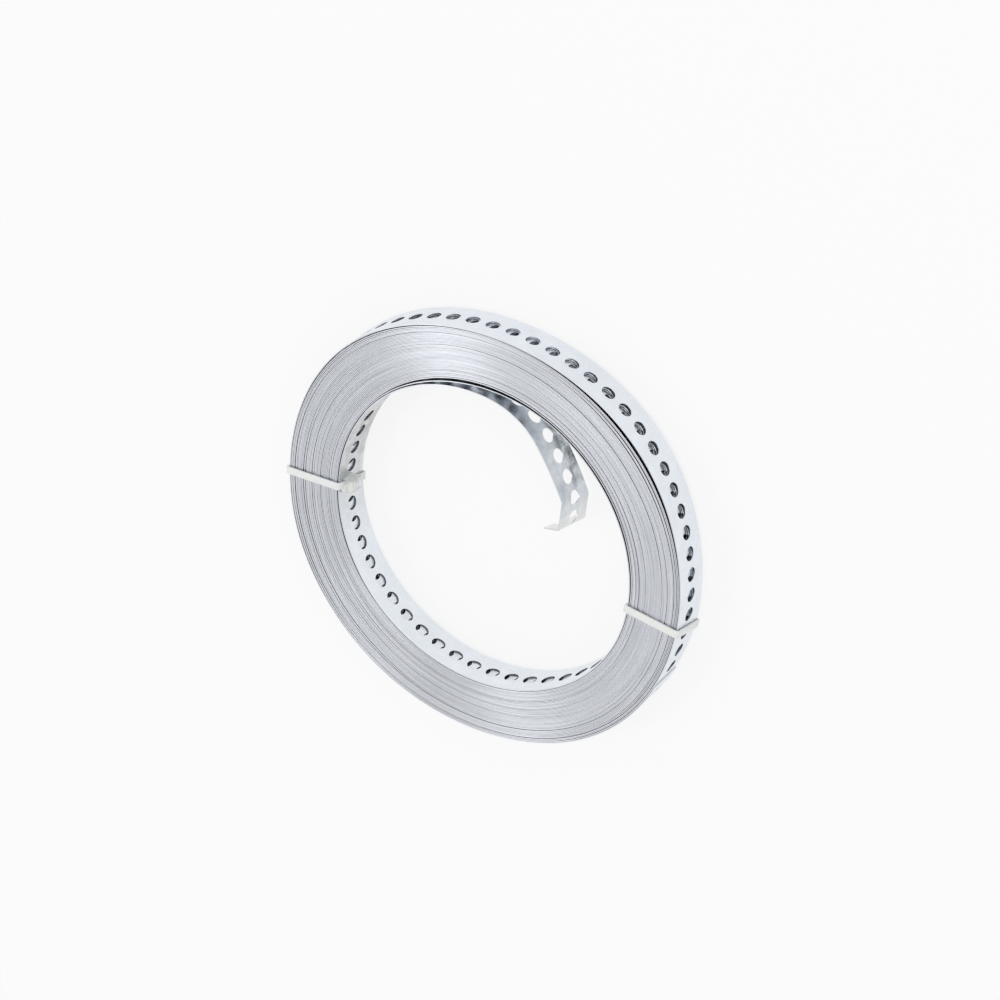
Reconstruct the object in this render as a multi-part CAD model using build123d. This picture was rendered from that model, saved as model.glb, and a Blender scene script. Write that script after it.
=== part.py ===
from build123d import *
import math
import os

os.makedirs("parts", exist_ok=True)

# Perforated steel strap, wound into a flat coil that lies on its end.
# The coil's axis is Z. The origin is on the axis, level with the undersides
# of the two ties that the coil lies on. Millimetres and degrees, and angles
# run anticlockwise from +X as seen from above.

# Strap
STRAP_WIDTH = 20.0
STRAP_THICKNESS = 0.55
HOLE_DIAMETER = 6.5
HOLE_PITCH = 10.0

# Holes are ten-sided, with the round hole's area, but for the whole and flat
# ones of the loose end
HOLE_SIDES = 10

# Coil
COIL_OUTER_RADIUS = 101.4
COIL_BORE_RADIUS = 75.8
OUTER_END_ANGLE = 315.0
OUTER_HOLE_ANGLE = 90.3
LEAST_HOLE_TO_END = 4.0
HOLE_PAST_TURN = 0.08
END_BANDS = 3
END_BAND_STEP = 0.25

# The turns lie looser on one side, so the outside is off the bore's centre:
# how far, and towards which angle
OFF_CENTRE = 1.2
OFF_CENTRE_ANGLE = 197.0

# Cable ties: angle at the coil's top, how far round it they have slipped by the
# time they reach its underside, and how far below its top their heads are
LEFT_TIE = (160.4, 2.5, 7.5)
RIGHT_TIE = (-26.2, -3.6, 16.0)
LEFT_TIE_MIDDLE = LEFT_TIE[0] + LEFT_TIE[1] / 2
RIGHT_TIE_MIDDLE = RIGHT_TIE[0] + RIGHT_TIE[1] / 2

# Where the outer turns have sprung off the coil: from and to which angle, how
# far they stand out, and how wide a gap opens behind the last turn
ARCHES_MEET = 66.0
SIDE_ARCH = (RIGHT_TIE_MIDDLE, ARCHES_MEET, 1.3, 1.2)
UPPER_ARCH = (ARCHES_MEET, 166.0, 1.8, 0.0)
LOWER_ARCH = (240.0, RIGHT_TIE_MIDDLE + 360, 1.3, 0.0)
ARCHES = (SIDE_ARCH, UPPER_ARCH, LOWER_ARCH)

# Where the innermost turn has sprung into the bore, as above
BORE_ARCH = (-62.0, 100.0, 1.7, 0.6)
LEAST_GAP = 0.2

# Points that each curve of the outlines is drawn through
ARCH_POINTS = 9

# Loose inner end: three tangent arcs off the bore wall, then two folds. Its
# round holes are counted from 0 at the cut.
INNER_END_ANGLE = 126.0
INNER_END_ARCS = ((65.4, 62.4), (38.1, 47.3), (156.1, 10.6))
INNER_END_CREVICE = 0.25
FOLD_RADIUS = 1.0
FIRST_FOLD = 31.5
FIRST_FLAP = 12.8
SECOND_FOLD = 69.9
SECOND_FLAP = 6.6
LAST_HOLE_TO_CUT = 1.3
ROUND_HOLES = range(3, 9)

# Ties
TIE_WIDTH = 3.6
TIE_THICKNESS = 1.2
TIE_CLEARANCE = 0.15
TIE_CORNER = 0.8
TIE_HEAD_WIDTH = 6.0
TIE_HEAD_LENGTH = 6.6
TIE_HEAD_HEIGHT = 4.2

COIL_BASE = TIE_THICKNESS + TIE_CLEARANCE
COIL_TOP = COIL_BASE + STRAP_WIDTH
MID_HEIGHT = COIL_BASE + STRAP_WIDTH / 2


def polar(radius, angle, height=0.0):
    a = math.radians(angle)
    return Vector(radius * math.cos(a), radius * math.sin(a), height)


def bump(angle, arch):
    """0 at both ends of an arch and 1 at its crown."""
    share = (angle - arch[0]) % 360 / (arch[1] - arch[0])
    return math.sin(math.pi * share) ** 2 if share < 1 else 0.0


def outer_radius(angle):
    """The coil's outside, which grows by one thickness over its last turn."""
    turns_left = (OUTER_END_ANGLE - angle) / 360
    looser = OFF_CENTRE * math.cos(math.radians(angle - OFF_CENTRE_ANGLE))
    stands_out = sum(arch[2] * bump(angle, arch) for arch in ARCHES)
    return COIL_OUTER_RADIUS + looser - STRAP_THICKNESS * turns_left + stands_out


def bore_radius(angle):
    """The bore wall, one turn from where the loose end leaves it."""
    turns_past = (angle - INNER_END_ANGLE) / 360
    growth = STRAP_THICKNESS + INNER_END_CREVICE
    stands_in = BORE_ARCH[2] * bump(angle, BORE_ARCH)
    return COIL_BORE_RADIUS - STRAP_THICKNESS + growth * turns_past - stands_in


def curve(radius, start, end, points):
    """A smooth curve through points of a radius formula."""
    step = (end - start) / (points - 1)
    return Spline(*[polar(radius(start + i * step), start + i * step) for i in range(points)])


def closed_outline(radius, stops):
    """One turn through these angles, closed by the step from end to start."""
    edges = [curve(radius, a, b, ARCH_POINTS) for a, b in zip(stops, stops[1:])]
    edges.append(Line(edges[-1] @ 1, edges[0] @ 0))
    return make_face(edges)


def coil_outline():
    start, end = OUTER_END_ANGLE - 360, OUTER_END_ANGLE
    stops = (start, SIDE_ARCH[0], SIDE_ARCH[1], UPPER_ARCH[1], LOWER_ARCH[0], end)
    return closed_outline(outer_radius, stops)


def bore_outline():
    start, end = INNER_END_ANGLE, INNER_END_ANGLE + 360
    return closed_outline(bore_radius, (start, BORE_ARCH[0] + 360, BORE_ARCH[1] + 360, end))


def arch_gap(arch, wall, towards):
    """The open crescent behind a turn whose back is at wall, where it has sprung
    off the turns that lie towards the axis (-1) or away from it (1)."""
    gap = arch[3]
    trim = math.degrees(math.asin(math.sqrt(LEAST_GAP / gap))) / 180 * (arch[1] - arch[0])
    start, end = arch[0] + trim, arch[1] - trim

    def far(angle):
        return wall(angle) + towards * gap * bump(angle, arch)

    near_side = curve(wall, start, end, ARCH_POINTS)
    far_side = curve(far, start, end, ARCH_POINTS)
    ends = [Line(near_side @ 0, far_side @ 0), Line(near_side @ 1, far_side @ 1)]
    return make_face([near_side, far_side] + ends)


def last_turn_back(angle):
    return outer_radius(angle) - STRAP_THICKNESS


def first_turn_back(angle):
    """The back of the bore's own turn, at an angle given within half a turn of 0."""
    return bore_radius(angle + 360) + STRAP_THICKNESS


def inner_end_path():
    """Pieces of the loose end's middle line: (length, radius or 0, turn)."""
    pieces = [(r * math.radians(turn), r, turn) for r, turn in INNER_END_ARCS]
    for turn, flap in ((FIRST_FOLD, FIRST_FLAP), (SECOND_FOLD, SECOND_FLAP)):
        pieces.append((FOLD_RADIUS * math.radians(turn), FOLD_RADIUS, turn))
        pieces.append((flap, 0.0, 0.0))
    return pieces


def walk(along, aside=0.0):
    """A point on the loose end, this far along it and aside of its middle."""
    here = polar(COIL_BORE_RADIUS - STRAP_THICKNESS / 2, INNER_END_ANGLE)
    heading = INNER_END_ANGLE - 90
    for length, radius, turn in inner_end_path():
        part = min(along, length)
        if radius:
            swing = turn * part / length
            centre = here + polar(radius, heading - 90)
            here = centre + polar(radius, heading + 90 - swing)
            heading -= swing
        else:
            here = here + polar(part, heading)
        along -= part
        if along <= 0:
            break
    return here + polar(aside, heading + 90), heading


def inner_end_outline():
    sides = []
    for aside in (STRAP_THICKNESS / 2, -STRAP_THICKNESS / 2):
        edges, along = [], 0.0
        for length, radius, turn in inner_end_path():
            a, b, c = [walk(along + share * length, aside)[0] for share in (0, 0.5, 1)]
            edges.append(ThreePointArc(a, b, c) if radius else Line(a, c))
            along += length
        sides.append(edges)
    outer, inner = sides
    ends = [Line(outer[0] @ 0, inner[0] @ 0), Line(outer[-1] @ 1, inner[-1] @ 1)]
    return make_face(outer + inner + ends)


def round_hole(foot, direction, depth):
    plane = Plane(origin=foot, x_dir=Vector(0, 0, 1), z_dir=direction)
    return plane * extrude(Circle(HOLE_DIAMETER / 2), depth)


def sided_hole(foot, direction, depth):
    """As round_hole, with flat sides, and the same area."""
    wedge = 2 * math.pi / HOLE_SIDES
    corner = HOLE_DIAMETER / 2 * math.sqrt(wedge / math.sin(wedge))
    plane = Plane(origin=foot, x_dir=Vector(0, 0, 1), z_dir=direction)
    return plane * extrude(RegularPolygon(corner, HOLE_SIDES), depth)


def raised(point, height):
    return Vector(point.X, point.Y, height)


def outer_holes():
    """Holes of the last turn, at one pitch along it, both ways from a known one."""
    cutters = []
    margin = math.degrees(LEAST_HOLE_TO_END / COIL_OUTER_RADIUS)
    for way in (1, -1):
        angle = OUTER_HOLE_ANGLE
        while OUTER_END_ANGLE - 360 + margin < angle < OUTER_END_ANGLE - margin:
            if way > 0 or angle < OUTER_HOLE_ANGLE:
                foot = polar(last_turn_back(angle) - HOLE_PAST_TURN, angle, MID_HEIGHT)
                cutters.append(sided_hole(foot, polar(1, angle), 2 * STRAP_THICKNESS))
            angle += way * math.degrees(HOLE_PITCH / (outer_radius(angle) - STRAP_THICKNESS / 2))
    return cutters


def inner_holes():
    """Holes back from the cut: along the loose end, then round the bore wall."""
    cutters = []
    clear = 2 * STRAP_THICKNESS
    along = sum(piece[0] for piece in inner_end_path()) - LAST_HOLE_TO_CUT
    while along > 0:
        foot, heading = walk(along, -clear)
        hole = round_hole if len(cutters) in ROUND_HOLES else sided_hole
        cutters.append(hole(raised(foot, MID_HEIGHT), polar(1, heading + 90), 2 * clear))
        along -= HOLE_PITCH
    mean_radius = COIL_BORE_RADIUS + INNER_END_CREVICE / 2
    step = math.degrees(HOLE_PITCH / mean_radius)
    angle = INNER_END_ANGLE - math.degrees(along / mean_radius)
    while angle < INNER_END_ANGLE + 360 - step / 2:
        back = bore_radius(angle) + STRAP_THICKNESS + HOLE_PAST_TURN
        foot = polar(back, angle, MID_HEIGHT)
        cutters.append(sided_hole(foot, polar(-1, angle), clear + STRAP_THICKNESS))
        angle += step
    return cutters


def end_bands():
    """Turns that lie a little back from both ends of the coil."""
    first = COIL_BORE_RADIUS + 2 * STRAP_THICKNESS
    last = COIL_OUTER_RADIUS - 4 * STRAP_THICKNESS
    width = (last - first) / END_BANDS
    bands = []
    for i in range(1, END_BANDS, 2):
        ring = Circle(first + (i + 1) * width) - Circle(first + i * width)
        for base in (COIL_BASE, COIL_TOP - END_BAND_STEP):
            bands.append(Pos(0, 0, base) * extrude(ring, END_BAND_STEP))
    return bands


def make_strap():
    section = coil_outline() - bore_outline()
    section = section - arch_gap(SIDE_ARCH, last_turn_back, -1)
    section = section - arch_gap(BORE_ARCH, first_turn_back, 1)
    section = section + inner_end_outline()
    coil = Pos(0, 0, COIL_BASE) * extrude(section, STRAP_WIDTH)
    return coil - outer_holes() - inner_holes() - end_bands()


def tie_leg(middle, outward, along, slip):
    """One leg down the coil's side: a parallelogram that slips sideways."""
    half_width, half_height = TIE_WIDTH / 2, STRAP_WIDTH / 2 + TIE_CLEARANCE + TIE_THICKNESS
    corners = [(slip / 2 - half_width, half_height), (slip / 2 + half_width, half_height)]
    corners += [(half_width - slip / 2, -half_height), (-half_width - slip / 2, -half_height)]
    face = make_face(Polyline(*corners, close=True))
    return Plane(origin=middle, x_dir=along, z_dir=outward) * extrude(face, TIE_THICKNESS)


def make_tie(tie):
    """A tie drawn round the coil, with its head inside the bore."""
    top_angle, slip_angle, head_below_top = tie
    angle = top_angle + slip_angle / 2
    turned = (angle - INNER_END_ANGLE) % 360 + INNER_END_ANGLE
    swing = abs(slip_angle) / 2 + math.degrees(TIE_WIDTH / 2 / COIL_BORE_RADIUS)
    inner = min(bore_radius(turned + side * swing) for side in (1, -1)) - TIE_CLEARANCE
    outer = outer_radius(angle) + TIE_CLEARANCE
    slip = -math.radians(slip_angle) * (inner + outer) / 2
    out, along, up = polar(1, angle), polar(1, angle + 90), Vector(0, 0, 1)
    far, near = polar(outer, angle, MID_HEIGHT), polar(inner, angle, MID_HEIGHT)
    tie = tie_leg(far, out, along, slip) + tie_leg(near, -out, -along, -slip)
    legs_apart = outer - inner + 2 * TIE_THICKNESS
    bar = Box(legs_apart, TIE_WIDTH, TIE_THICKNESS)
    reach = (STRAP_WIDTH + TIE_THICKNESS) / 2 + TIE_CLEARANCE
    for side in (1, -1):
        where = (far + near) * 0.5 + up * (side * reach) + along * (side * slip / 2)
        tie += Plane(origin=where, x_dir=out, z_dir=up) * bar
    corners = tie.edges().filter_by(lambda e: abs((e % 0.5).dot(along)) > 0.9)
    corners = corners.filter_by(lambda e: abs((e @ 0.5).Z - MID_HEIGHT) > reach)
    tie = fillet(corners, TIE_CORNER)
    align = (Align.CENTER, Align.CENTER, Align.MIN)
    head = Box(TIE_HEAD_WIDTH, TIE_HEAD_LENGTH, TIE_HEAD_HEIGHT, align=align)
    head = fillet(head.edges().filter_by(Axis.Z), TIE_CORNER)
    drop = STRAP_WIDTH / 2 - head_below_top
    where = near + up * drop + along * (slip * drop / STRAP_WIDTH)
    return tie + Plane(origin=where, x_dir=along, z_dir=-out) * head


strap = make_strap()
export_step(strap, "parts/strap.step")
export_step(make_tie(LEFT_TIE), "parts/left_tie.step")
export_step(make_tie(RIGHT_TIE), "parts/right_tie.step")
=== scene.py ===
import math

import bmesh
import bpy
import numpy as np
from mathutils import Matrix, Vector, noise


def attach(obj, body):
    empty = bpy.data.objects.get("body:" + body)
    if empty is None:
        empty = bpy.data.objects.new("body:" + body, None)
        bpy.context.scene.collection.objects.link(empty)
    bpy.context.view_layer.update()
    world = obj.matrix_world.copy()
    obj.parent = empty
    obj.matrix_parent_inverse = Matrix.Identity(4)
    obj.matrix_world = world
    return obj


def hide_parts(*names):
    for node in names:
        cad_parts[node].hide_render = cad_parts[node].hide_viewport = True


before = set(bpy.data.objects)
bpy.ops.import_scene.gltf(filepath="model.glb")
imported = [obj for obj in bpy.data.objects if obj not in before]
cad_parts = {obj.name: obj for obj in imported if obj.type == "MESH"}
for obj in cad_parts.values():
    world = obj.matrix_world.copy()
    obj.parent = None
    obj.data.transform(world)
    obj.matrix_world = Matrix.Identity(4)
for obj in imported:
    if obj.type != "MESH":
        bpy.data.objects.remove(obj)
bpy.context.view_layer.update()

# A coil of perforated steel strap with a loose folded inner end and two cable ties.
# Lengths are in millimetres up to the last step of each mesh, and angles in degrees.
# The strap is wound as in the part: from the loose inner end out to the outer end.
MM = 0.001
WIDTH = 20.0
# The turns lie about one thickness apart, and the sheet drawn is thinner, so that the
# gaps between them show
THICKNESS = 0.55
SHEET = 0.50
BEVEL = 0.07
HOLE_RADIUS = 3.25
PITCH = 10.0
BASE = 1.35
MID = BASE + WIDTH / 2
OUTER_RADIUS = 101.4
BORE_RADIUS = 75.8
CREVICE = 0.25
FULL_TURNS = 45
OFF_CENTRE = 1.2
OFF_CENTRE_ANGLE = 197.0
INNER_END = 126.0
OUTER_END = 315.0
# The angle of one hole of the last turn, and the least distance of a hole to its end
OUTER_HOLE_ANGLE = 90.3
LEAST_HOLE_TO_END = 4.0
# Each tie: its angle at the coil's top, how much further round it is at the bottom,
# and how far its head lies below the top
LEFT_TIE = (160.4, 2.5, 7.5)
RIGHT_TIE = (-26.2, -3.6, 16.0)
TIE_WIDTH = 3.6
TIE_THICKNESS = 1.2
TIE_CLEARANCE = 0.15
# Taken off the band's half height, which keeps it inside the part's box
TIE_SHORT = 0.005

# Where the outer turns have sprung off, and how far: the last turn, the one before
# it, and so on. From the last one named the rise fades evenly through the coil. The
# slack arch sets the turns below the last one back.
SIDE_ARCH = (-17.0, 66.0, (1.9, 0.7, 0.7, 0.25, 0.25, -0.1))
UPPER_ARCH = (66.0, 166.0, (1.8, 1.4, 1.22, 1.08))
LOWER_ARCH = (240.0, 332.0, (1.3, 1.25, 1.2))
SLACK_ARCH = (-120.0, 78.0, (0.0, -0.25, -0.25, -0.45, -0.45, -0.6))
ARCHES = (SIDE_ARCH, UPPER_ARCH, LOWER_ARCH, SLACK_ARCH)

# The same for the innermost turns, which have sprung into the bore
BORE_ARCH = (-62.0, 100.0, (-1.7, -1.02, -0.82, -0.68))
START_ARCH = (36.0, 127.0, (-1.2, 0.0))
BORE_ARCHES = (BORE_ARCH, START_ARCH)

# Turns with real holes, from the outside and from the bore: how far each turn's
# holes lie along it from the first one's, at the angle where they line up best
OUTSIDE_SHIFTS = (0.0, 0.3, -2.7, -0.5, -0.9, -4.9)
OUTSIDE_ALIGNED = 43.0
INSIDE_SHIFTS = (0.0, -4.3, -1.7, -2.8, 2.6)
INSIDE_ALIGNED = 200.0

# The loose inner end: three arcs off the bore wall, each a radius and a turn, then
# two folds on lines that aren't square to the strap: (where, skew, turn, radius). It
# is cut off at CUT. Its holes are counted from the coil, where the first lies at
# WALL_HOLE, and the cut runs through the last.
ARCS = ((65.4, 62.4), (38.1, 47.3), (156.1, 9.85))
FIRST_FOLD = (130.2, -0.205, 31.5, 5.0)
SECOND_FOLD = (144.9, -0.150, 69.9, 1.0)
CUT = 152.6
WALL_HOLE = 1.43
TAIL_HOLES = 16
# Keeps the lowest corner of the skewed flap off the floor
LEAST_HEIGHT = 0.02

# How far each turn's edge lies back from the coil's ends: noise along it with these
# periods, in degrees, and depths. The deep one counts only above its threshold. The
# noise is sampled from before the spiral's start to past its end.
SLOW_PERIOD, SLOW_DEPTH, SLOW_LIFT = 95, 0.09, 0.6
QUICK_PERIOD, QUICK_DEPTH = 23, 0.02
DEEP_PERIOD, DEEP_DEPTH, DEEP_THRESHOLD = 150, 0.75, 0.18
RECESS_BASE = 0.05
MOST_RECESS = 0.4
RECESS_BEFORE, RECESS_PAST, RECESS_STEP = 400, 20, 6.0
RECESS_SEEDS = {1: 3.0, -1: 17.0}

# Steps of the tables along the spiral and of the turns between, in degrees
TABLE_STEP = 0.5
PACK_STEP = 2.0
# The turns between have this much of their faces, and the walls behind the holes stop
# this far short of the strap's edges
EDGE_DEPTH = 1.2
WALL_SHORT = 0.5


def turn_vector(radius, angle):
    """A point or points in the coil's plane, from radius and angle."""
    a = np.radians(angle)
    return np.stack([radius * np.cos(a), radius * np.sin(a)], axis=-1)


# The spiral's middle line
TURNS = FULL_TURNS + (OUTER_END - INNER_END) / 360
LAST_PHI = INNER_END + 360 * TURNS
FIRST_RADIUS = BORE_RADIUS - THICKNESS / 2
LAST_RADIUS = OUTER_RADIUS - THICKNESS / 2
FIRST_GROWTH = THICKNESS + CREVICE
GROWTH = (LAST_RADIUS - FIRST_RADIUS - FIRST_GROWTH) / (TURNS - 1)


def rise_of(rises, turns_off):
    """An arch's rise this many turns behind its first."""
    return np.interp(turns_off, [*range(len(rises)), FULL_TURNS - 1], [*rises, 0.0])


def arch_share(phi, start, end):
    """From nothing at either end of an arch to 1 at its middle."""
    share = (phi - start) % 360 / (end - start)
    return np.where(share < 1, np.sin(np.pi * share) ** 2, 0.0)


def mid_radius(phi):
    """Radius of the strap's middle line, where phi counts on over all the turns."""
    wound = (phi - INNER_END) / 360
    radius = FIRST_RADIUS + FIRST_GROWTH * np.minimum(wound, 1) + GROWTH * np.maximum(wound - 1, 0)
    looser = np.cos(np.radians(phi - OFF_CENTRE_ANGLE))
    radius = radius + OFF_CENTRE * looser * np.clip(wound / TURNS, 0, 1)
    for start, end, rises in ARCHES:
        turns_off = (LAST_PHI - phi - OUTER_END + (start + end) / 2) / 360
        radius = radius + arch_share(phi, start, end) * rise_of(rises, turns_off)
    for start, end, rises in BORE_ARCHES:
        turns_off = wound - (360 + (start + end) / 2 - INNER_END) / 360
        radius = radius + arch_share(phi, start, end) * rise_of(rises, turns_off)
    return radius


# The same line as tables: its angle, radius and length from the inner end
PHI_TABLE = np.arange(INNER_END, LAST_PHI + TABLE_STEP, TABLE_STEP)
R_TABLE = mid_radius(PHI_TABLE)
LENGTHS = np.radians(TABLE_STEP) * (R_TABLE[1:] + R_TABLE[:-1]) / 2
S_TABLE = np.concatenate([[0.0], np.cumsum(LENGTHS)])
RECESS_PHI = np.arange(INNER_END - RECESS_BEFORE, LAST_PHI + RECESS_PAST, RECESS_STEP)


def s_of(phi):
    """Length along the strap from the coil's start."""
    return float(np.interp(phi, PHI_TABLE, S_TABLE))


def recess_table(seed):
    """The seed and the numbers beside it only pick a place in the noise."""
    out = []
    for phi in RECESS_PHI:
        slow = noise.noise(Vector((phi / SLOW_PERIOD, seed, 0.5)))
        quick = noise.noise(Vector((phi / QUICK_PERIOD, seed + 40, 1.5)))
        deep = noise.noise(Vector((phi / DEEP_PERIOD, seed + 80, 2.5)))
        deep = max(deep - DEEP_THRESHOLD, 0)
        waves = RECESS_BASE + SLOW_DEPTH * (slow + SLOW_LIFT) + QUICK_DEPTH * quick
        out.append(waves + DEEP_DEPTH * deep)
    return np.clip(out, 0.0, MOST_RECESS)


RECESS = {side: recess_table(seed) for side, seed in RECESS_SEEDS.items()}


def recess(phi, side):
    """How far the edge lies back here, at the top (side 1) or the bottom (-1)."""
    return np.interp(phi, RECESS_PHI, RECESS[side])


def on_spiral(s, aside, z):
    """Where a point of the flat strap lies once it is wound."""
    phi = np.interp(s, S_TABLE, PHI_TABLE)
    xy = turn_vector(mid_radius(phi) + aside, phi)
    drop = np.where(z > 0, -recess(phi, 1), recess(phi, -1)) * np.abs(z) / (WIDTH / 2)
    return np.column_stack([xy, MID + z + drop])


def tail_frame(along):
    """Point and heading of the loose end's line, before its folds."""
    here = turn_vector(FIRST_RADIUS, INNER_END)
    heading = INNER_END - 90
    for radius, turn in ARCS:
        length = radius * math.radians(turn)
        part = min(max(along, 0.0), length)
        swing = turn * part / length
        centre = here + turn_vector(radius, heading - 90)
        here = centre + turn_vector(radius, heading + 90 - swing)
        heading -= swing
        along -= part
        if along <= 0:
            break
    return here + turn_vector(max(along, 0.0), heading), heading


TAIL_STRAIGHT = sum(radius * math.radians(turn) for radius, turn in ARCS)


def fold(point, line):
    """Bends what lies past a line of the flat strap: point is (along, z, aside)."""
    where, skew, turn, radius = line
    size = math.hypot(1, skew)
    across_line = np.array([1, -skew]) / size
    along_line = np.array([skew, 1]) / size
    flat = np.array([point[0] - where, point[1]])
    beyond = flat @ across_line
    if beyond <= 0:
        return point
    bend = min(beyond / radius, math.radians(turn))
    rest = max(beyond - radius * math.radians(turn), 0.0)
    run = (radius + point[2]) * math.sin(bend) + rest * math.cos(bend)
    dip = (radius + point[2]) * math.cos(bend) - radius - rest * math.sin(bend)
    moved = across_line * run + along_line * (flat @ along_line)
    return np.array([where + moved[0], moved[1], dip])


def on_tail(s, aside, z):
    """As on_spiral, for the loose end, where s is below 0."""
    out = []
    for si, ai, zi in zip(s, aside, z):
        along = -si
        point = np.array([along, zi, ai])
        if along > TAIL_STRAIGHT:
            point = fold(fold(point, SECOND_FOLD), FIRST_FOLD)
        here, heading = tail_frame(min(point[0], TAIL_STRAIGHT))
        spare = max(point[0] - TAIL_STRAIGHT, 0.0)
        xy = here + turn_vector(spare, heading) + turn_vector(point[2], heading + 90)
        out.append((xy[0], xy[1], max(MID + point[1], LEAST_HEIGHT)))
    return np.array(out)


# One cell of the flat strap is one pitch long, with a hole in its middle. Coarse
# cells are for the wound turns and fine ones for the folded end: points round the
# hole, rows across the strap, and rings from the cell's rim to the hole.
COARSE = (24, 9, 1)
FINE = (64, 23, 9)
# The cell with the notch has this many lengths, and a plain length of PLAIN_SPAN has
# as many as the strap has rows
NOTCH_STATIONS = 8
PLAIN_SPAN = 22
# The angle of a hole's first point, which faces the rim's first point
FIRST_ON_HOLE = -60
# A hole keeps this far from the end of its length of strap, and plain lengths
# shorter than this are left out
LEAST_RIM = 0.3
LEAST_PLAIN = 0.02
# Edges that turn by more than this are drawn sharp
STRAP_SMOOTH_ANGLE = 40
TIE_SMOOTH_ANGLE = 50
# Material slots of the strap's pieces
FACE, EDGE, COVERED, TORN = 0, 1, 2, 3
# A hole's wall is smooth for this far from the strap's outer face, where the punch
# went in, and torn from there on
SMOOTH_OUTSIDE, SMOOTH_INSIDE = 0.33, 0.12
SMOOTH_DEFAULT = SHEET / 2


def levels(rows):
    """Heights of the rows across the strap, from its middle."""
    return np.linspace(-(WIDTH / 2 - BEVEL), WIDTH / 2 - BEVEL, rows)


def rim_points(around, rows):
    """The cell's outline, anticlockwise, as (share of half its length, z)."""
    z = levels(rows)
    count = around // 2 - rows + 1
    across = 1 - 2 * np.arange(1, count) / count
    points = [(1.0, v) for v in z] + [(x, z[-1]) for x in across]
    return points + [(-1.0, v) for v in z[::-1]] + [(x, z[0]) for x in across[::-1]]


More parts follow.
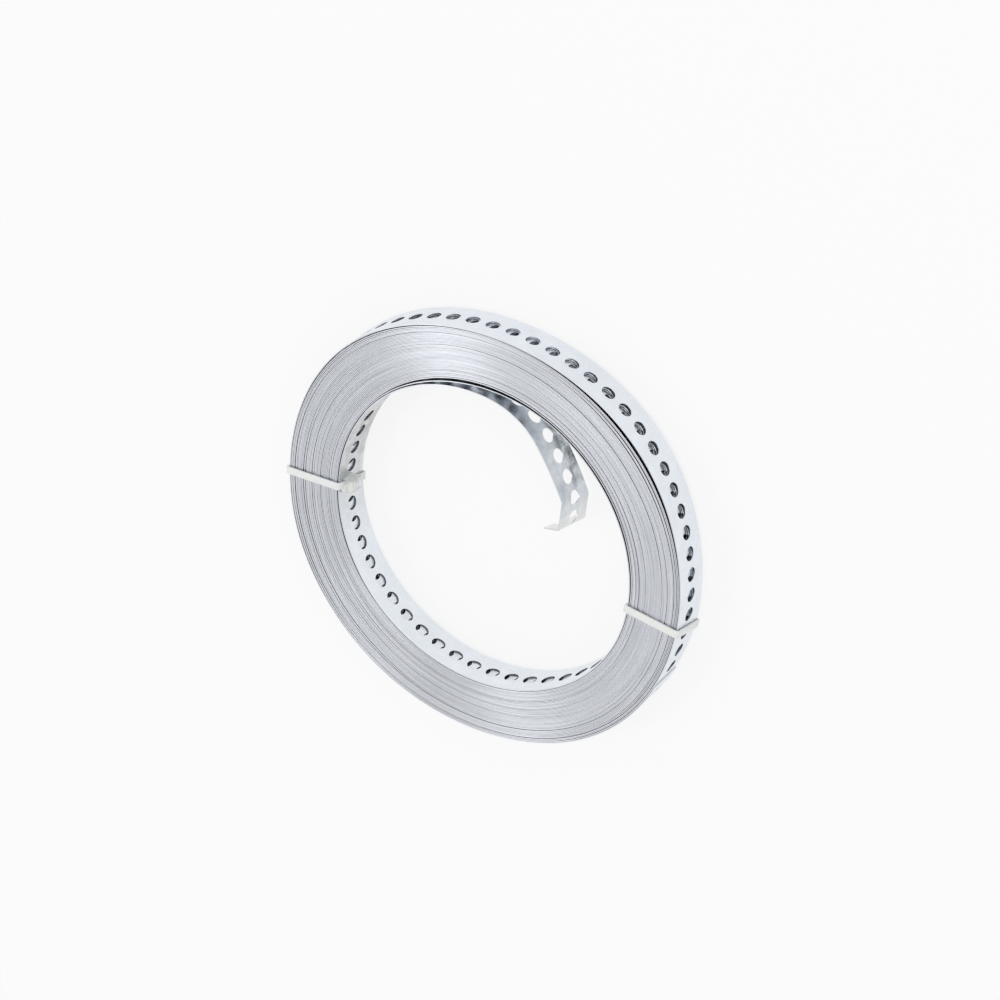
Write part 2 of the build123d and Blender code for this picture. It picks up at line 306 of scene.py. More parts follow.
class Sheet:
    """A growing mesh of flat strap, with its vertices as (s, aside, z)."""

    def __init__(self, detail, outer, inner, smooth):
        self.smooth = smooth
        self.around, self.rows, self.rings = detail
        self.face = {1: outer, -1: inner}
        self.verts, self.faces, self.mats = [], [], []

    def add(self, verts, faces, mat):
        base = len(self.verts)
        self.verts += verts
        self.faces += [tuple(v + base for v in face) for face in faces]
        self.mats += [mat] * len(faces)

    def bands(self, rows, mat, closed=False, flip=False):
        """Quads between rows of points."""
        n = len(rows[0])
        faces = []
        for i in range(len(rows) - 1):
            for j in range(n if closed else n - 1):
                k = (j + 1) % n
                quad = (i * n + j, i * n + k, i * n + n + k, i * n + n + j)
                faces.append(quad[::-1] if flip else quad)
        self.add([point for row in rows for point in row], faces, mat)

    def hole(self, rim, lip, wall, closed):
        """Both faces from a cell's rim to its hole, and the hole's wall.

        It gives back the rows of points from the rim to the hole.
        """
        half_t = SHEET / 2
        flat = []
        for i in range(self.rings + 1):
            t = i / self.rings
            flat.append([(a + (c - a) * t, b + (d - b) * t) for (a, b), (c, d) in zip(rim, lip)])
        for side in (1, -1):
            rows = [[(s, side * half_t, z) for s, z in row] for row in flat]
            self.bands(rows, self.face[side], closed=closed, flip=side < 0)
        smooth = [[(s, half_t, z) for s, z in lip], [(s, half_t - BEVEL, z) for s, z in wall]]
        smooth.append([(s, half_t - self.smooth, z) for s, z in wall])
        torn = [smooth[-1], [(s, BEVEL - half_t, z) for s, z in wall], [(s, -half_t, z) for s, z in lip]]
        self.bands(smooth, COVERED, closed=closed)
        self.bands(torn, TORN, closed=closed)
        return flat

    def holed_cell(self, middle, start, end):
        """A cell from start to end, with its hole at middle."""
        reach = {True: end - middle, False: middle - start}
        rim = [(middle + x * reach[x > 0], z) for x, z in rim_points(self.around, self.rows)]
        angles = np.radians(FIRST_ON_HOLE + 360 / self.around * np.arange(self.around))

        def circle(radius):
            return [(middle + radius * math.cos(a), radius * math.sin(a)) for a in angles]

        self.hole(rim, circle(HOLE_RADIUS + BEVEL), circle(HOLE_RADIUS), closed=True)
        count = self.around // 2 - self.rows + 1
        shares = [1 - 2 * i / count for i in range(count + 1)]
        ahead = [middle + (end - middle) * x for x in shares if x > 0]
        behind = [middle + (middle - start) * x for x in shares if x <= 0]
        self.long_edges(ahead + behind)

    def notched_cell(self, middle, start, end):
        """The cell at the cut, which runs through a hole."""
        half_t = SHEET / 2
        z = levels(self.rows)
        stations = list(np.linspace(start, end, NOTCH_STATIONS + 1))
        before = stations[:-1]
        rim = [(s, z[0]) for s in before] + [(end, v) for v in z]
        rim += [(s, z[-1]) for s in before[::-1]]

        def arc(radius):
            reach = math.acos((start - middle) / radius)
            angles = np.linspace(-reach, reach, len(rim))
            return [(middle + radius * math.cos(a), radius * math.sin(a)) for a in angles]

        wall = arc(HOLE_RADIUS)
        flat = self.hole(rim, arc(HOLE_RADIUS + BEVEL), wall, closed=False)
        self.long_edges(stations[::-1])
        # The cut leaves a face on either side of the hole: index 0 is the lower one
        for which, side in ((0, -1), (-1, 1)):
            face = [row[which][1] for row in flat]
            in_hole, at_edge = wall[which][1], side * WIDTH / 2
            loop = [(half_t, v) for v in face]
            loop += [(half_t - BEVEL, in_hole), (half_t - self.smooth, in_hole), (BEVEL - half_t, in_hole)]
            loop += [(-half_t, v) for v in face[::-1]]
            loop += [(BEVEL - half_t, at_edge), (half_t - BEVEL, at_edge)]
            self.cut_face(start, loop, side < 0)

    def long_edges(self, stations):
        """The strap's two cut edges along these stations, with their bevels."""
        half_t, half_w = SHEET / 2, WIDTH / 2
        profile = [(half_t, half_w - BEVEL), (half_t - BEVEL, half_w)]
        profile += [(BEVEL - half_t, half_w), (-half_t, half_w - BEVEL)]
        for side in (1, -1):
            rows = [[(s, aside, side * z) for aside, z in profile] for s in stations]
            self.bands(rows, EDGE, flip=side < 0)

    def plain_cell(self, start, end):
        """A length without holes."""
        count = max(1, int(math.ceil((end - start) * self.rows / PLAIN_SPAN)))
        stations = list(np.linspace(end, start, count + 1))
        z = levels(self.rows)
        for side in (1, -1):
            rows = [[(s, side * SHEET / 2, v) for v in z] for s in stations]
            self.bands(rows, self.face[side], flip=side < 0)
        self.long_edges(stations)

    def end_cap(self, s):
        """Closes the strap at its outer end."""
        half_t, half_w = SHEET / 2, WIDTH / 2
        z = levels(self.rows)
        loop = [(half_t, v) for v in z]
        loop += [(half_t - BEVEL, half_w), (BEVEL - half_t, half_w)]
        loop += [(-half_t, v) for v in z[::-1]]
        loop += [(BEVEL - half_t, -half_w), (half_t - BEVEL, -half_w)]
        self.cut_face(s, loop, False)

    def cut_face(self, s, loop, turned):
        """One face across the strap, from a loop of (aside, z)."""
        face = tuple(range(len(loop)))
        self.add([(s, aside, z) for aside, z in loop], [face if turned else face[::-1]], EDGE)


def strip(start, end, holes, place, detail=COARSE, outer=FACE, inner=FACE,
          smooth=SMOOTH_DEFAULT, notch=None, capped=False):
    """A length of strap as (vertices, faces, materials, strap coordinates).

    It may start with a notch, which is a hole that the cut runs through, and may be
    capped at its end.
    """
    sheet = Sheet(detail, outer, inner, smooth)
    keep = HOLE_RADIUS + LEAST_RIM
    holes = sorted(h for h in holes if start + keep < h < end - keep)
    reached = start
    if notch is not None:
        reached = notch + PITCH / 2
        sheet.notched_cell(notch, start, reached)
    for i, h in enumerate(holes):
        before = max(h - PITCH / 2, reached)
        if before - reached > LEAST_PLAIN:
            sheet.plain_cell(reached, before)
        after = min(h + PITCH / 2, end)
        if i + 1 < len(holes):
            after = min(after, (h + holes[i + 1]) / 2)
        sheet.holed_cell(h, before, after)
        reached = after
    if end - reached > LEAST_PLAIN:
        sheet.plain_cell(reached, end)
    if capped:
        sheet.end_cap(end)
    flat, index = np.unique(np.round(np.array(sheet.verts), 4), axis=0, return_inverse=True)
    index = index.reshape(-1)
    faces = [tuple(int(index[v]) for v in polygon) for polygon in sheet.faces]
    return place(flat[:, 0], flat[:, 1], flat[:, 2]), faces, sheet.mats, flat


def piece(name, parts, materials, node):
    """One mesh object from lists of (vertices, faces, materials, strap coordinates)."""
    points, faces, mats, strap = [], [], [], []
    base = 0
    for verts, part_faces, part_mats, coords in parts:
        points.append(verts)
        strap.append(coords)
        faces += [tuple(v + base for v in polygon) for polygon in part_faces]
        mats += part_mats
        base += len(verts)
    points, strap = np.concatenate(points) * MM, np.concatenate(strap)
    mesh = bpy.data.meshes.new(name)
    mesh.from_pydata(points.tolist(), [], faces)
    mesh.polygons.foreach_set("material_index", np.array(mats, dtype=np.int32))
    layer = mesh.uv_layers.new(name="strap")
    loops = np.zeros(len(mesh.loops), dtype=np.int32)
    mesh.loops.foreach_get("vertex_index", loops)
    uv = np.column_stack([strap[loops, 0], strap[loops, 1] + strap[loops, 2]]) * MM
    layer.data.foreach_set("uv", uv.ravel())
    mesh.validate()
    mesh.update()
    obj = bpy.data.objects.new(name, mesh)
    bpy.context.scene.collection.objects.link(obj)
    for material in materials:
        mesh.materials.append(material)
    mesh.polygons.foreach_set("use_smooth", np.ones(len(mesh.polygons), dtype=bool))
    mesh.set_sharp_from_angle(angle=math.radians(STRAP_SMOOTH_ANGLE))
    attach(obj, "root")
    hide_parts(node)


# Sockets of the mix node when it mixes colours: three inputs and the output
MIX_FACTOR, MIX_A, MIX_B = 0, 6, 7
MIX_COLOUR = 2


class Nodes:
    """A Principled material and the nodes that feed it."""

    def __init__(self, name, metallic, roughness, **constants):
        self.material = bpy.data.materials.new(name)
        self.material.use_nodes = True
        self.tree = self.material.node_tree
        self.shader = self.tree.nodes["Principled BSDF"]
        self.shader.inputs["Metallic"].default_value = metallic
        self.shader.inputs["Roughness"].default_value = roughness
        for key, value in constants.items():
            self.shader.inputs[key.replace("_", " ")].default_value = value

    def node(self, kind, links=(), **settings):
        """A new node, with each of its inputs linked or set."""
        node = self.tree.nodes.new(kind)
        for key, value in settings.items():
            setattr(node, key, value)
        for socket, source in dict(links).items():
            if hasattr(source, "links"):
                self.tree.links.new(source, node.inputs[socket])
            else:
                node.inputs[socket].default_value = source
        return node

    def along(self, scales):
        """Strap coordinates in metres, scaled along and across the strap."""
        uv = self.node("ShaderNodeUVMap", uv_map="strap")
        links = {"Vector": uv.outputs["UV"], "Scale": (*scales, 1.0)}
        return self.node("ShaderNodeMapping", links).outputs["Vector"]

    def axis(self, letter):
        """Metres along the strap from the coil's start (X) or from its middle (Y)."""
        plain = {"Vector": self.along((1.0, 1.0))}
        return self.node("ShaderNodeSeparateXYZ", plain).outputs[letter]

    def place(self):
        """Place in the piece, in metres."""
        return self.node("ShaderNodeTexCoord").outputs["Object"]

    def noise(self, vector, scale, detail=3.0, rough=0.5):
        links = {"Vector": vector, "Scale": scale, "Detail": detail, "Roughness": rough}
        return self.node("ShaderNodeTexNoise", links).outputs["Fac"]

    def span(self, source, low, high):
        """From nothing at low to 1 at high."""
        links = {"Value": source, "From Min": low, "From Max": high}
        return self.node("ShaderNodeMapRange", links).outputs["Result"]

    def ramp(self, source, *stops):
        """Grey levels between stops, each as (where, level)."""
        node = self.node("ShaderNodeValToRGB", {"Fac": source})
        elements = node.color_ramp.elements
        while len(elements) < len(stops):
            elements.new(0.5)
        for element, (where, level) in zip(elements, stops):
            element.position = where
            element.color = (level, level, level, 1.0)
        return node.outputs["Color"]

    def both(self, a, b):
        """The product of two grey levels."""
        product = self.mix(1.0, a, b, "MULTIPLY")
        return self.node("ShaderNodeRGBToBW", {"Color": product}).outputs["Val"]

    def calc(self, operation, *values):
        return self.node("ShaderNodeMath", dict(enumerate(values)), operation=operation).outputs[0]

    def mix(self, factor, a, b, blend="MIX"):
        node = self.node("ShaderNodeMix", data_type="RGBA", blend_type=blend)
        for number, source in ((MIX_FACTOR, factor), (MIX_A, a), (MIX_B, b)):
            if hasattr(source, "links"):
                self.tree.links.new(source, node.inputs[number])
            else:
                node.inputs[number].default_value = source if number == MIX_FACTOR else (*source, 1.0)
        return node.outputs[MIX_COLOUR]

    def feed(self, **sources):
        """Links sources to the shader's inputs of the same names."""
        for key, source in sources.items():
            self.tree.links.new(source, self.shader.inputs[key.replace("_", " ")])

    def bump(self, height, strength, distance, after=None):
        links = {"Height": height, "Strength": strength, "Distance": distance}
        if after is not None:
            links["Normal"] = after
        return self.node("ShaderNodeBump", links).outputs["Normal"]


# Where the loose end, the pale flap, the dull start and the painted gap shade lie, in
# metres: along the strap from the coil's start, or across it from its middle
LOOSE_END = (-CUT * MM, 0.0)
ACROSS = (-WIDTH / 2 * MM, WIDTH / 2 * MM)
PALE_FLAP = (-0.130, -0.150)
DULL_START = (0.0, 0.08)
GAP_SHADE_FROM = (0.0054, 0.0070)

# Noise in waves per metre, and for what runs along the strap in waves along it and
# across it
CLOUDS = 140.0
# Spots of the painted dark reflections on the loose end
DARK_REFLECTION_SPOTS = 95.0
DULL_BLOTCHES = 160.0
ZINC_SHEEN = 320.0
ROLLING_LINES = (9.0, 1400.0)
EDGE_SHADES = (13.0, 0.0)
EDGE_STREAKS = (120.0, 0.0)
EDGE_SCRATCHES = (40.0, 3000.0)
NYLON_CLOUDS = 420.0
NYLON_SHEEN = 900.0

LINE_COLOUR = (0.45, 0.47, 0.52)
FLAP_COLOUR = (0.86, 0.86, 0.83)


def rolled_zinc(name, light, dark, dark_reflections=None, gap_shade=None, dull=None):
    """Galvanised sheet: cloudy zinc, fine lines along it, dull blotches, and painted dark
    reflections and shade.

    Gap shade is painted shade: the colour it has towards its edges, where it lies in
    the gaps between the turns, and dull the colour it has at the start of the first
    turn. Dark reflections are painted reflections, near the loose end's back edge.
    """
    m = Nodes(name, metallic=1.0, roughness=0.3)
    cloud = m.noise(m.place(), CLOUDS, detail=5.0, rough=0.6)
    colour = m.mix(m.ramp(cloud, (0.35, 0.0), (0.68, 1.0)), dark, light)
    lines = m.noise(m.along(ROLLING_LINES), 1.0, detail=2.0)
    colour = m.mix(m.ramp(lines, (0.3, 0.0), (0.75, 0.12)), colour, LINE_COLOUR)
    # Painted dark reflections on the loose end: towards its back edge, over part of its length, in spots
    if dark_reflections:
        back = m.ramp(m.span(m.axis("Y"), *ACROSS), (0.1, 1.0), (0.34, 0.7), (0.5, 0.0))
        far = m.span(m.axis("X"), *LOOSE_END)
        some = m.ramp(far, (0.14, 0.0), (0.2, 1.0), (0.44, 1.0), (0.52, 0.3))
        reflection_spots = m.noise(m.place(), DARK_REFLECTION_SPOTS, detail=4.0, rough=0.55)
        reflection_spots = m.ramp(reflection_spots, (0.38, 0.0), (0.52, 1.0))
        reflection_amount = m.both(m.mix(1.0, back, some, "MULTIPLY"), reflection_spots)
        colour = m.mix(reflection_amount, colour, dark_reflections)
        colour = m.mix(m.span(m.axis("X"), *PALE_FLAP), colour, FLAP_COLOUR)
    if dull:
        start = m.ramp(m.span(m.axis("X"), *DULL_START), (0.2, 1.0), (1.0, 0.0))
        blotches = m.noise(m.place(), DULL_BLOTCHES, detail=4.0, rough=0.6)
        blotches = m.ramp(blotches, (0.3, 0.35), (0.62, 1.0))
        colour = m.mix(m.both(start, blotches), colour, dull)
    # Painted shade: near-black towards the edges, where the face lies in the gaps between the turns
    if gap_shade:
        off_middle = m.calc("ABSOLUTE", m.axis("Y"))
        colour = m.mix(m.span(off_middle, *GAP_SHADE_FROM), colour, gap_shade)
    m.feed(Base_Color=colour)
    m.feed(Roughness=m.ramp(m.noise(m.place(), ZINC_SHEEN), (0.3, 0.24), (0.7, 0.38)))
    fine = m.bump(lines, strength=0.10, distance=0.00005)
    m.feed(Normal=m.bump(cloud, strength=0.12, distance=0.0002, after=fine))
    return m.material


def cut_zinc(name, light, dark, roughness):
    """The sheared edges: each turn has its own shade, in streaks along it."""
    m = Nodes(name, metallic=1.0, roughness=roughness, Anisotropic=0.92, Anisotropic_Rotation=0.25)
    shade = m.noise(m.along(EDGE_SHADES), 1.0, rough=0.6)
    streaks = m.noise(m.along(EDGE_STREAKS), 1.0, detail=2.0)
    colour = m.mix(m.ramp(shade, (0.36, 0.0), (0.64, 1.0)), dark, light)
    colour = m.mix(m.ramp(streaks, (0.35, 0.0), (0.8, 0.3)), colour, light)
    m.feed(Base_Color=colour)
    scratches = m.noise(m.along(EDGE_SCRATCHES), 1.0, detail=2.0)
    m.feed(Normal=m.bump(scratches, strength=0.15, distance=0.00005))
    tangent = m.node("ShaderNodeTangent", direction_type="UV_MAP", uv_map="strap")
    m.feed(Tangent=tangent.outputs["Tangent"])
    return m.material


def nylon_plastic(name, light, shaded):
    """White nylon, a little translucent and cloudy."""
    m = Nodes(name, metallic=0.0, roughness=0.4, Subsurface_Weight=0.15, Subsurface_Scale=0.002)
    cloud = m.noise(m.place(), NYLON_CLOUDS, detail=4.0, rough=0.6)
    m.feed(Base_Color=m.mix(m.ramp(cloud, (0.3, 0.0), (0.75, 1.0)), light, shaded))
    m.feed(Roughness=m.ramp(m.noise(m.place(), NYLON_SHEEN), (0.3, 0.34), (0.7, 0.5)))
    m.feed(Normal=m.bump(cloud, strength=0.15, distance=0.0003))
    return m.material


zinc_face = rolled_zinc("zinc_face", light=(0.89, 0.93, 0.98), dark=(0.84, 0.88, 0.93),
                        dull=(0.50, 0.49, 0.47))
# The loose end, with painted dark reflections near its back edge
zinc_loose = rolled_zinc("zinc_loose_end", light=(0.76, 0.79, 0.83), dark=(0.52, 0.56, 0.60),
                         dark_reflections=(0.05, 0.065, 0.08))
# Covered faces: a little darker than the open face as painted shade, and near-black towards their edges as
# painted shade in the gaps between the turns
zinc_covered = rolled_zinc("zinc_covered", light=(0.88, 0.91, 0.95), dark=(0.76, 0.80, 0.86),
                           gap_shade=(0.08, 0.09, 0.12))
zinc_edge = cut_zinc("zinc_edge", light=(0.93, 0.953, 1.0), dark=(0.70, 0.722, 0.78),
                     roughness=0.38)
# The torn part of the holes' walls: rougher, and painted near-black as shade inside the holes
zinc_shaded_torn = cut_zinc("zinc_shaded_torn_wall", light=(0.14, 0.15, 0.19), dark=(0.06, 0.065, 0.09),
                     roughness=0.5)
nylon = nylon_plastic("tie_nylon", light=(0.90, 0.91, 0.895), shaded=(0.82, 0.83, 0.815))


def holes_between(first, last, known):
    """Middles of the holes from first to last, in step with a known one."""
    low, high = math.ceil((first - known) / PITCH), math.floor((last - known) / PITCH)
    return [known + PITCH * k for k in range(low, high + 1)]


# The outer turns, from the last one in. Angle 0 of the last turn is at phi zero, and
# the angle where the holes line up lies past_hole behind a hole.
outside = []
zero = LAST_PHI - OUTER_END
past_hole = (s_of(zero + OUTSIDE_ALIGNED) - s_of(zero + OUTER_HOLE_ANGLE)) % PITCH
for turn, shift in enumerate(OUTSIDE_SHIFTS):
    is_last = turn == 0
    seam = LAST_PHI - 360 * turn
    first, last = s_of(seam - 360), s_of(seam)
    known = s_of(zero + OUTSIDE_ALIGNED - 360 * turn) - past_hole + shift
    holes = holes_between(first, last - (LEAST_HOLE_TO_END if is_last else 0.0), known)
    outside.append(strip(first, last, holes, on_spiral, outer=FACE if is_last else COVERED,
                         inner=COVERED, smooth=SMOOTH_OUTSIDE, capped=is_last))

# The inner turns, from the first one out, in step with the loose end's holes
inside = []
past_hole = (s_of(INSIDE_ALIGNED) + WALL_HOLE) % PITCH
for turn, shift in enumerate(INSIDE_SHIFTS):
    is_first = turn == 0
    start = INNER_END + 360 * turn
    first, last = s_of(start), s_of(start + 360)
    known = s_of(INSIDE_ALIGNED + 360 * turn) - past_hole + shift
    holes = holes_between(first, last, known)
    inside.append(strip(first, last, holes, on_spiral, outer=COVERED,
                        inner=FACE if is_first else COVERED, smooth=SMOOTH_INSIDE))

*tail_holes, notch = [-(WALL_HOLE + PITCH * k) for k in range(TAIL_HOLES)]
tail = strip(-CUT, 0.0, tail_holes, on_tail, detail=FINE, notch=notch)


def pack_edges(phi, side):
    """One side's edges of the turns between, with the start of both their faces."""
    half = SHEET / 2
    profile = [(half, -EDGE_DEPTH), (half, -BEVEL), (half - BEVEL, 0)]
    profile += [(-aside, down) for aside, down in profile[::-1]]
    radius = mid_radius(phi)
    s = np.interp(phi, PHI_TABLE, S_TABLE)
    verts, coords, faces, mats = [], [], [], []
    for aside, down in profile:
        flat_z = side * (WIDTH / 2 + down)
        z = MID + side * (WIDTH / 2 + down - recess(phi, side))
        verts.append(np.column_stack([turn_vector(radius + aside, phi), z]))
        coords.append(np.column_stack([s, np.full_like(s, aside), np.full_like(s, flat_z)]))
    n = len(phi)
    for j in range(len(profile) - 1):
        for i in range(n - 1):
            a = j * n + i
            quad = (a, a + 1, a + n + 1, a + n)
            faces.append(quad[::-1] if side < 0 else quad)
            mats.append(EDGE if 0 < j < len(profile) - 2 else COVERED)
    return np.concatenate(verts), faces, mats, np.concatenate(coords)


def pack_wall(first_phi, aside):
    """One turn's wall, which shows behind the holes."""
    phi = np.arange(first_phi, first_phi + 361, PACK_STEP)
    s = np.interp(phi, PHI_TABLE, S_TABLE)
    n = len(phi)
    xy = turn_vector(mid_radius(phi) + aside, phi)
    verts, coords, faces = [], [], []
    for z in (WALL_SHORT - WIDTH / 2, WIDTH / 2 - WALL_SHORT):
        verts.append(np.column_stack([xy, np.full(n, MID + z)]))
        coords.append(np.column_stack([s, np.full(n, aside), np.full(n, z)]))
    for i in range(n - 1):
        quad = (i, i + 1, n + i + 1, n + i)
        faces.append(quad if aside > 0 else quad[::-1])
    return np.concatenate(verts), faces, [COVERED] * len(faces), np.concatenate(coords)


# The turns between, of which only the edges and the first and last wall show
first_between = INNER_END + 360 * len(INSIDE_SHIFTS)
last_between = LAST_PHI - 360 * len(OUTSIDE_SHIFTS)
phi = np.append(np.arange(first_between, last_between - TABLE_STEP, PACK_STEP), last_between)
between = [pack_edges(phi, 1), pack_edges(phi, -1)]
between += [pack_wall(first_between, -SHEET / 2), pack_wall(last_between - 360, SHEET / 2)]

# The torn slot of the wound turns takes the torn wall painted in shade
steel = [zinc_face, zinc_edge, zinc_covered, zinc_shaded_torn]
loose_steel = [zinc_loose, zinc_edge, zinc_covered, zinc_edge]
piece("strap_outer_turns", outside, steel, "strap")
piece("strap_inner_turns", inside, steel, "strap")
piece("strap_wound_turns", between, steel, "strap")
piece("strap_loose_end", [tail], loose_steel, "strap")


# Cable ties: a rounded band drawn round the coil, and a head with its cut-off tail.
# The band turns the coil's corners in arcs of BAND_CORNER, and its own outline is
# rounded with BAND_ROUND.
BAND_CORNER = 1.3
BAND_CORNER_STEPS = 6
BAND_STEP = 1.5
BAND_ROUND = 0.35
BAND_ROUND_STEPS = 3
# The head, the rim of its slot, the cut-off tail and the neck, each as its size
# (across, along the band, off the coil), its middle and its bevel
HEAD_BLOCKS = (((6.0, 6.6, 4.2), (0.0, 0.0, 2.1), 0.55),
               ((5.3, 3.4, 0.5), (0.0, 0.3, 4.25), 0.2),
               ((3.4, 1.1, 1.8), (0.0, 0.3, 4.2), 0.12),
               ((4.6, 3.0, 1.9), (0.0, -4.2, 1.0), 0.4))
HEAD_BEVEL_STEPS = 3
HEAD_BEVEL_PROFILE = 0.6


def bore_wall(angle):
    """Radius of the first turn's inner wall."""
    phi = (angle - INNER_END) % 360 + INNER_END
    return float(mid_radius(np.array([phi]))[0]) - THICKNESS / 2


def outer_wall(angle):
    """Radius of the last turn's outer wall."""
    phi = LAST_PHI - (OUTER_END - angle) % 360
    return float(mid_radius(np.array([phi]))[0]) + THICKNESS / 2


def band_section():
    """The band's rounded outline as (across, out)."""
    points = []
    flat_x, flat_y = TIE_WIDTH / 2 - BAND_ROUND, TIE_THICKNESS / 2 - BAND_ROUND
    for quarter, (x, y) in enumerate(((1, 1), (-1, 1), (-1, -1), (1, -1))):
        for step in range(BAND_ROUND_STEPS + 1):
            a = math.radians(90 * quarter + 90 / BAND_ROUND_STEPS * step)
            across = x * flat_x + BAND_ROUND * math.cos(a)
            points.append((across, y * flat_y + BAND_ROUND * math.sin(a)))
    return points


def rounded_loop(corners):
    """A closed line round these corners, each drawn as an arc."""
    loop = []
    for i, corner in enumerate(corners):
        before, after = Vector(corners[i - 1]), Vector(corners[(i + 1) % len(corners)])
        here = Vector(corner)
        into, away = (here - before).normalized(), (after - here).normalized()
        centre = here - into * BAND_CORNER + away * BAND_CORNER
        for step in range(BAND_CORNER_STEPS + 1):
            t = math.radians(90 / BAND_CORNER_STEPS * step)
            loop.append(centre - away * BAND_CORNER * math.cos(t) + into * BAND_CORNER * math.sin(t))
        start, end = here + away * BAND_CORNER, after - away * BAND_CORNER
        count = int((end - start).length / BAND_STEP)
        loop += [start.lerp(end, k / count) for k in range(1, count)]
    return loop


def add_band(mesh, points, along):
    """The band round a closed line of points, with its width turned along."""
    rings = []
    for i, point in enumerate(points):
        heading = (points[(i + 1) % len(points)] - points[i - 1]).normalized()
        across = (along - heading * along.dot(heading)).normalized()
        outward = across.cross(heading)
        rings.append([mesh.verts.new(point + across * x + outward * y) for x, y in band_section()])
    n = len(rings[0])
    for i, ring in enumerate(rings):
        following = rings[(i + 1) % len(rings)]
        for j in range(n):
            k = (j + 1) % n
            mesh.faces.new((ring[j], ring[k], following[k], following[j]))


def add_head(mesh, place):
    """The head's blocks, each bevelled, moved to their place."""
    for size, middle, bevel in HEAD_BLOCKS:
        made = bmesh.ops.create_cube(mesh, size=1.0)["verts"]
        for v in made:
            v.co = place @ Vector([c * d + m for c, d, m in zip(v.co, size, middle)])
        edges = list(dict.fromkeys(e for v in made for e in v.link_edges))
        bmesh.ops.bevel(mesh, geom=edges, offset=bevel, segments=HEAD_BEVEL_STEPS,
                        profile=HEAD_BEVEL_PROFILE, affect="EDGES")


def make_tie(name, node, tie):
    """A cable tie as one mesh, which shows in place of the part's node."""
    top_angle, slip_angle, head_below_top = tie
    angle = top_angle + slip_angle / 2
    swing = abs(slip_angle) / 2 + math.degrees(TIE_WIDTH / 2 / BORE_RADIUS)
    inner = min(bore_wall(angle + side * swing) for side in (1, -1)) - TIE_CLEARANCE
    outer = outer_wall(angle) + TIE_CLEARANCE
    slip = -math.radians(slip_angle) * (inner + outer) / 2
    a = math.radians(angle)
    out = Vector((math.cos(a), math.sin(a), 0))
    along = Vector((-math.sin(a), math.cos(a), 0))
    up = Vector((0, 0, 1))
    half_height = WIDTH / 2 + TIE_CLEARANCE + TIE_THICKNESS / 2 - TIE_SHORT
    low, high = inner - TIE_THICKNESS / 2, outer + TIE_THICKNESS / 2
    corners = [(high, half_height), (low, half_height), (low, -half_height), (high, -half_height)]
    points = []
    for r, z in rounded_loop(corners):
        lean = slip / 2 * max(-1, min(1, z / half_height))
        points.append(out * r + up * (MID + z) + along * lean)
    mesh = bmesh.new()
    add_band(mesh, points, along)
    drop = WIDTH / 2 - head_below_top
    place = Matrix((along, -up, -out)).transposed().to_4x4()
    place.translation = out * inner + up * (MID + drop) + along * (slip * drop / WIDTH)
    add_head(mesh, place)
    for v in mesh.verts:
        v.co *= MM
    data = bpy.data.meshes.new(name)
    bmesh.ops.recalc_face_normals(mesh, faces=mesh.faces)
    mesh.to_mesh(data)
    mesh.free()
    data.polygons.foreach_set("use_smooth", np.ones(len(data.polygons), dtype=bool))
    data.set_sharp_from_angle(angle=math.radians(TIE_SMOOTH_ANGLE))
    obj = bpy.data.objects.new(name, data)
    bpy.context.scene.collection.objects.link(obj)
    data.materials.append(nylon)
    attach(obj, "root")
    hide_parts(node)


make_tie("left_tie_band", "left_tie", LEFT_TIE)
make_tie("right_tie_band", "right_tie", RIGHT_TIE)

# Floor: to the camera and in reflections it is mostly plain white, and the rest
# keeps part of the coil's shadow
FLOOR_SIZE = 12
FLOOR_GREY = 0.9
FLOOR_WHITE_SHARE = 0.8
bpy.ops.mesh.primitive_plane_add(size=FLOOR_SIZE)
floor = bpy.context.object
floor.name = "floor"
pale = Nodes("floor_white", metallic=0.0, roughness=0.9)
pale.shader.inputs["Base Color"].default_value = (FLOOR_GREY, FLOOR_GREY, FLOOR_GREY, 1)
rays = pale.node("ShaderNodeLightPath").outputs
seen = pale.calc("MAXIMUM", rays["Is Camera Ray"], rays["Is Glossy Ray"])
seen = pale.calc("MAXIMUM", seen, rays["Is Transmission Ray"])
share = pale.calc("MULTIPLY", seen, FLOOR_WHITE_SHARE)
white = pale.node("ShaderNodeEmission", {"Strength": 1.0}).outputs[0]
blend = pale.node("ShaderNodeMixShader", {0: share, 1: pale.shader.outputs[0], 2: white})
pale.tree.links.new(blend.outputs[0], pale.tree.nodes["Material Output"].inputs["Surface"])
floor.data.materials.append(pale.material)

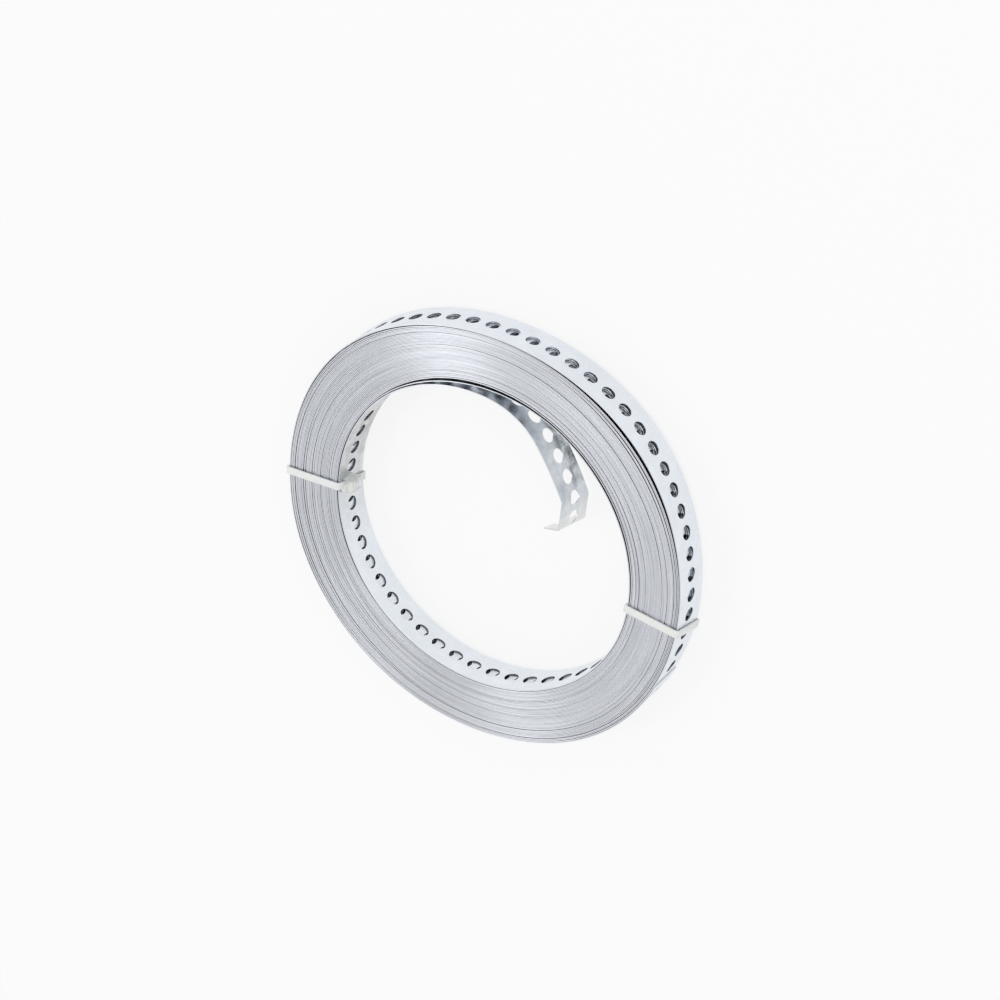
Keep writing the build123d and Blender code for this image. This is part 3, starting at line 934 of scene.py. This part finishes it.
# Light: a white studio all round, a soft lamp beside the camera and two at the
# picture's left. Each lamp: azimuth, elevation, distance and size in metres, radiance.
STUDIO_STRENGTH = 0.745
LAMPS = {"front": (30.0, 50.0, 1.7, 1.6, 0.6),
         "key": (165.0, 57.0, 2.4, 0.6, 3.9),
         "side": (195.0, 42.0, 2.4, 0.9, 0.45)}
world = bpy.data.worlds.new("studio")
bpy.context.scene.world = world
world.use_nodes = True
background = world.node_tree.nodes["Background"].inputs
background["Color"].default_value = (1, 1, 1, 1)
background["Strength"].default_value = STUDIO_STRENGTH
for name, (azimuth, elevation, distance, size, radiance) in LAMPS.items():
    lamp = bpy.data.lights.new(name, "AREA")
    lamp.size = size
    lamp.energy = math.pi * size ** 2 * radiance
    obj = bpy.data.objects.new(name, lamp)
    bpy.context.scene.collection.objects.link(obj)
    a, e = math.radians(azimuth), math.radians(elevation)
    toward = Vector((math.cos(a) * math.cos(e), math.sin(a) * math.cos(e), math.sin(e)))
    obj.location = toward * distance
    obj.rotation_euler = (-toward).to_track_quat("-Z", "Y").to_euler()

# Camera: fitted to the photo, and turned with the coil, which lies down here. Its
# place is in metres, the lens and the sensor in millimetres.
CAMERA_FORWARD = Vector((-0.574618, -0.344869, -0.742212))
CAMERA_UP = Vector((0.0, 0.906883, -0.421383))
CAMERA_RIGHT = Vector((0.818422, -0.242134, -0.521111))
CAMERA_PLACE = Vector((0.777735, 0.475724, 0.993905 + MID * MM))
LENS = 109.778
SENSOR_WIDTH = 36
NEAREST = 0.01
camera_data = bpy.data.cameras.new("camera")
camera_data.lens = LENS
camera_data.sensor_width = SENSOR_WIDTH
camera_data.clip_start = NEAREST
camera = bpy.data.objects.new("camera", camera_data)
bpy.context.scene.collection.objects.link(camera)
turned = Matrix((CAMERA_RIGHT, CAMERA_UP, -CAMERA_FORWARD)).transposed().to_4x4()
camera.matrix_world = Matrix.Translation(CAMERA_PLACE) @ turned
bpy.context.scene.camera = camera
bpy.context.scene.view_settings.view_transform = "Standard"
